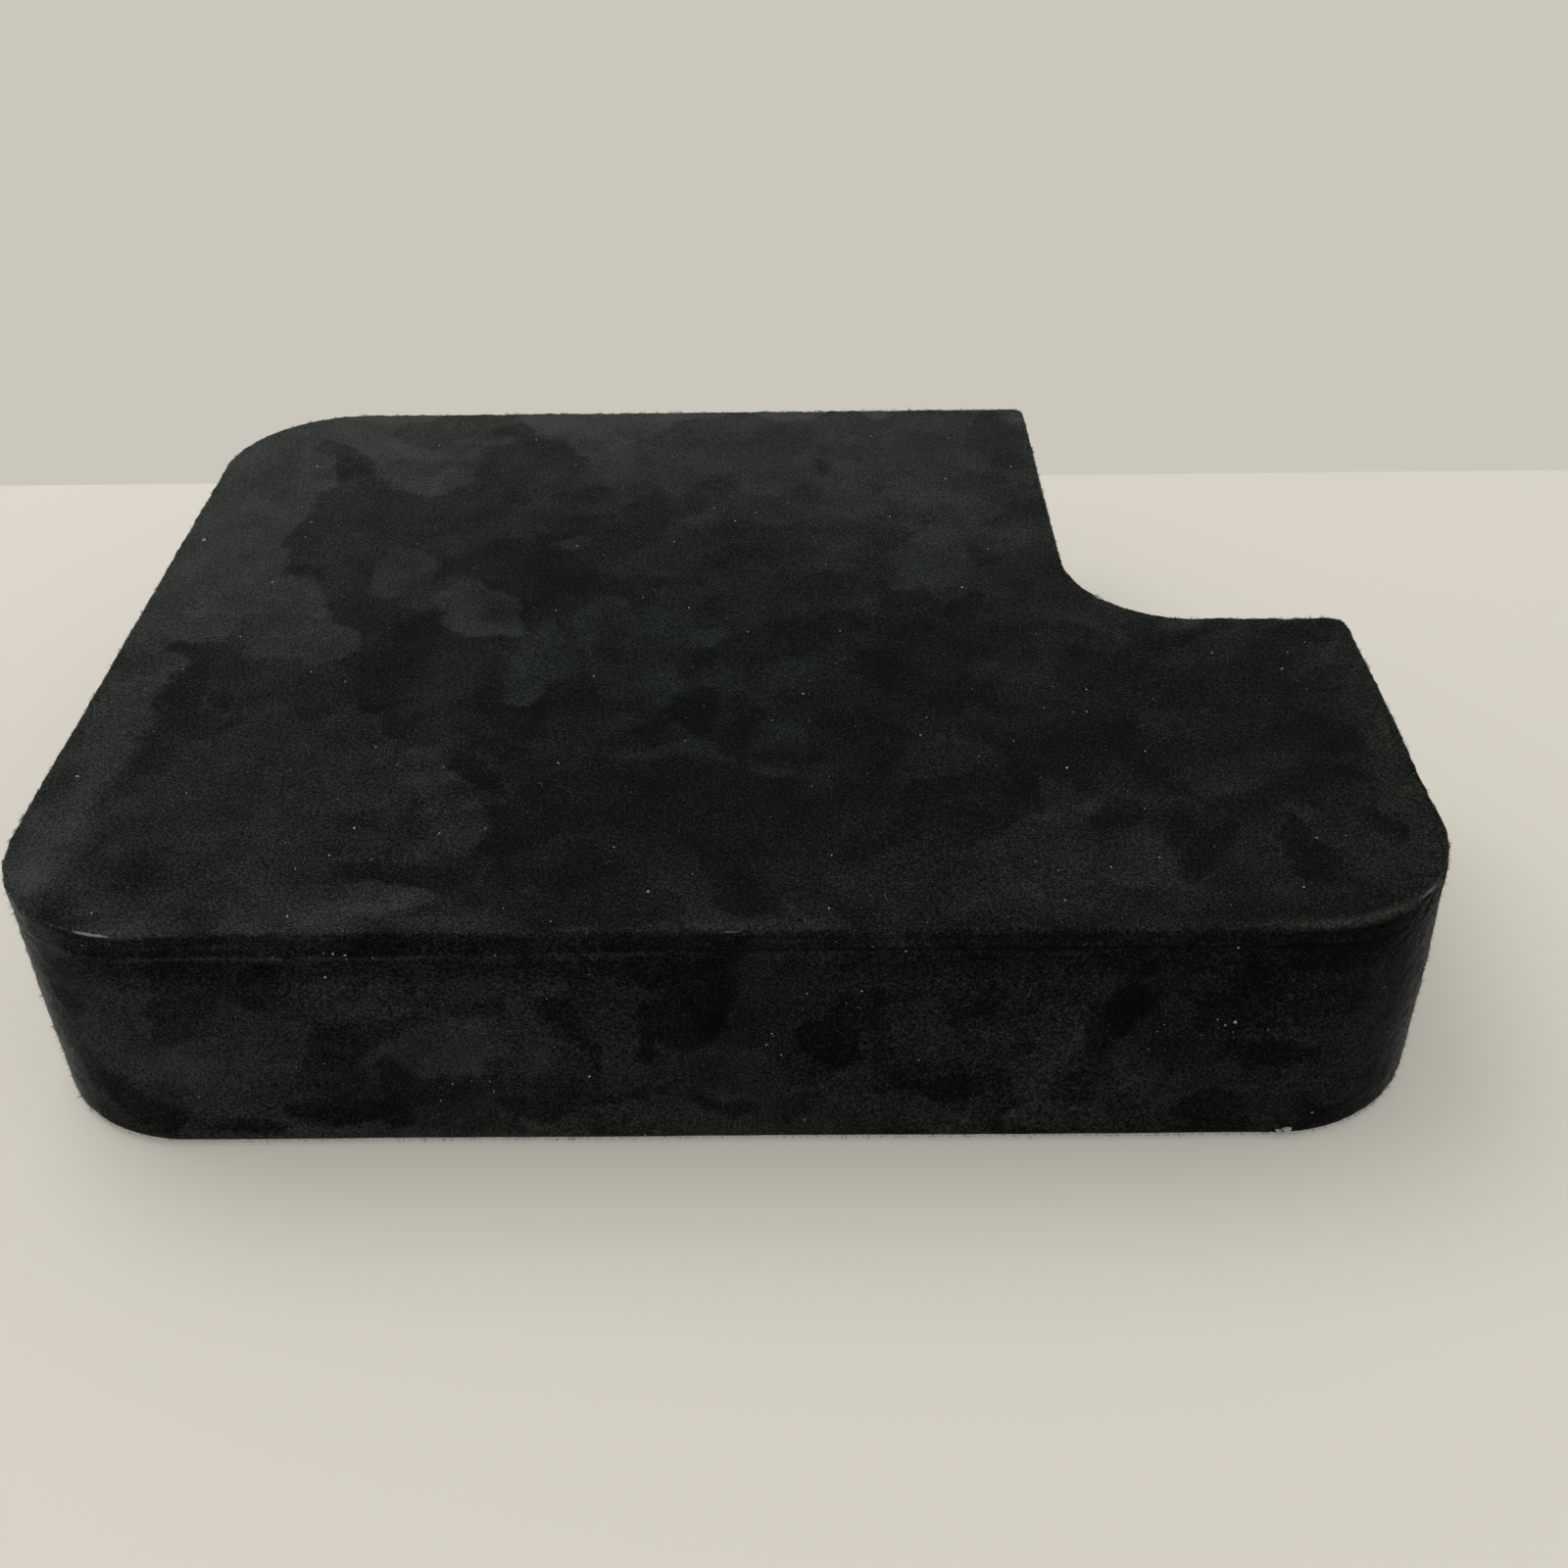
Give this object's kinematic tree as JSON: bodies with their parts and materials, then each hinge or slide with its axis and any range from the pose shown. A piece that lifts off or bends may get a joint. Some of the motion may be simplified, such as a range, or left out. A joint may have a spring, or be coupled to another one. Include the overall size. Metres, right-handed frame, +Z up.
{
  "type": "foam block",
  "caption": "Flat suede-wrapped foam block with rounded corners and a notch cut out of one corner, to prop, pad or locate things on a bench or desk.",
  "frame": {"origin": "middle of the box round the footprint, on the surface that the block stands on", "axes": "+X along the long side, towards the notched end; +Y towards the back, where the notch is; +Z up, out of the top cover"},
  "size_m": [0.2, 0.162, 0.039],
  "materials": {
    "suede": "short napped synthetic suede, charcoal black, with lighter and darker brushed patches",
    "foam": "firm closed-cell foam, black, fine cells"
  },
  "bodies": {
    "root": {"foam_core": "foam", "top_cover": "suede", "side_band": "suede", "base_panel": "suede"}
  },
  "joints": []
}
